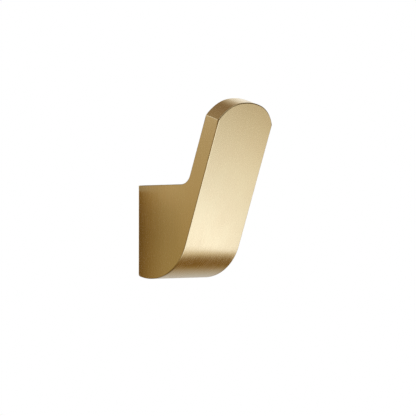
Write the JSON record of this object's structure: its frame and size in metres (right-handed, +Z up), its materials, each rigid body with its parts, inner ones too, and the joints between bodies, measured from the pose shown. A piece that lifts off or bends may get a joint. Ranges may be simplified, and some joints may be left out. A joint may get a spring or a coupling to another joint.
{
  "type": "wall hook",
  "caption": "Solid brass wall hook: a round-bellied base with a flat ledge and a round-ended blade that leans forward, on a concealed bracket locked by a set screw from below.",
  "frame": {"origin": "on the flat back face, in the wall plane, midway across and midway between the ledge and the lowest point of the belly", "axes": "+Y out of the back face into the wall, -Y towards the room, +Z up, +X to the right as seen from the room"},
  "size_m": [0.025, 0.0319, 0.052],
  "materials": {
    "brushed_brass": "satin brushed along the height",
    "bracket_steel": "milled, matt",
    "set_screw_steel": "black oxide"
  },
  "bodies": {
    "root": {"hook_body": "brushed_brass", "wall_bracket": "bracket_steel", "set_screw": "set_screw_steel"}
  },
  "joints": []
}
